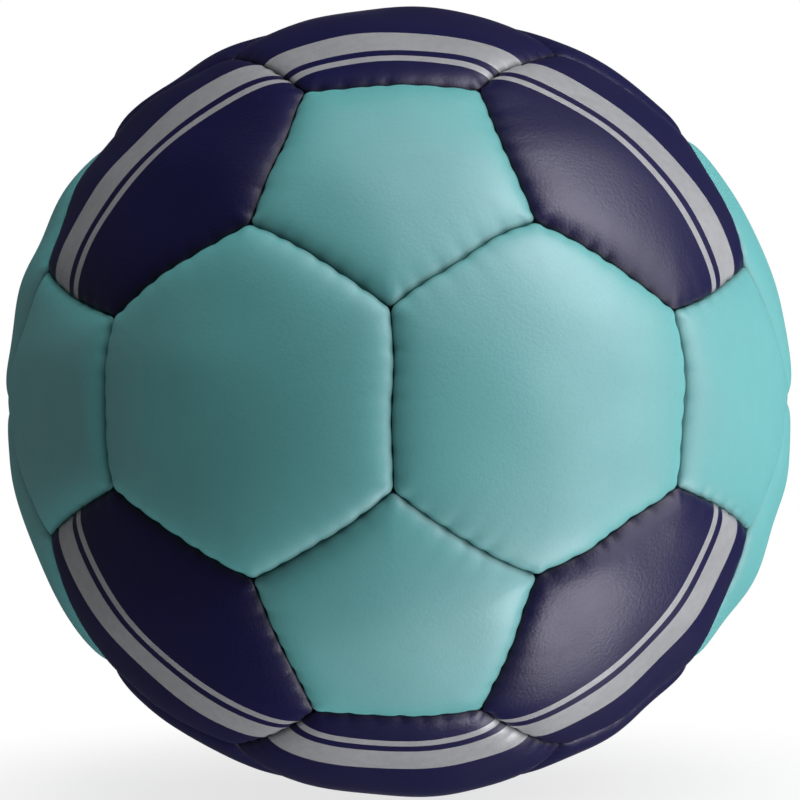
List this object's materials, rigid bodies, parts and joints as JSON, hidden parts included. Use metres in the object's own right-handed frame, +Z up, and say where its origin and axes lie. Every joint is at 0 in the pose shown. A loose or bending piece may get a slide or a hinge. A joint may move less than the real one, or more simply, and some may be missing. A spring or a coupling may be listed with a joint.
{
  "type": "handball",
  "caption": "Hand-stitched handball of padded hexagon and pentagon leather panels over a rubber bladder, with a needle valve for pumping it up.",
  "frame": {"origin": "centre of the ball", "axes": "+Z up through the middle of a seam of the upper cap, -Y towards the front seam seen in the picture, +X to the right"},
  "size_m": [0.186, 0.186, 0.186],
  "materials": {
    "teal_leather": "satin, fine grain",
    "navy_leather": "satin, fine grain, silver print",
    "foam": "closed-cell foam, matte",
    "lining": "woven, matte",
    "thread": "waxed thread",
    "bladder": "smooth rubber",
    "valve": "moulded rubber"
  },
  "bodies": {
    "root": {"bladder": "bladder", "hexagon_back_left": "teal_leather", "hexagon_back_right": "teal_leather", "hexagon_bottom_back": "navy_leather", "hexagon_bottom_front": "navy_leather", "hexagon_corner_back_left_lower": "navy_leather", "hexagon_corner_back_left_upper": "navy_leather", "hexagon_corner_back_right_lower": "navy_leather", "hexagon_corner_back_right_upper": "navy_leather", "hexagon_corner_front_left_lower": "navy_leather", "hexagon_corner_front_left_upper": "navy_leather", "hexagon_corner_front_right_lower": "navy_leather", "hexagon_corner_front_right_upper": "navy_leather", "hexagon_foam_pads": "foam", "hexagon_front_left": "teal_leather", "hexagon_front_right": "teal_leather", "hexagon_left_lower": "teal_leather", "hexagon_left_upper": "teal_leather", "hexagon_linings": "lining", "hexagon_right_lower": "teal_leather", "hexagon_right_upper": "teal_leather", "hexagon_top_back": "navy_leather", "hexagon_top_front": "navy_leather", "pentagon_back_lower": "teal_leather", "pentagon_back_upper": "teal_leather", "pentagon_bottom_left": "navy_leather", "pentagon_bottom_right": "navy_leather", "pentagon_foam_pads": "foam", "pentagon_front_lower": "teal_leather", "pentagon_front_upper": "teal_leather", "pentagon_left_back": "teal_leather", "pentagon_left_front": "teal_leather", "pentagon_linings": "lining", "pentagon_right_back": "teal_leather", "pentagon_right_front": "teal_leather", "pentagon_top_left": "navy_leather", "pentagon_top_right": "navy_leather", "seam_threads": "thread", "valve_foam_pad": "foam", "valve_housing": "valve", "valve_lining": "lining", "valve_plug": "valve"}
  },
  "joints": []
}
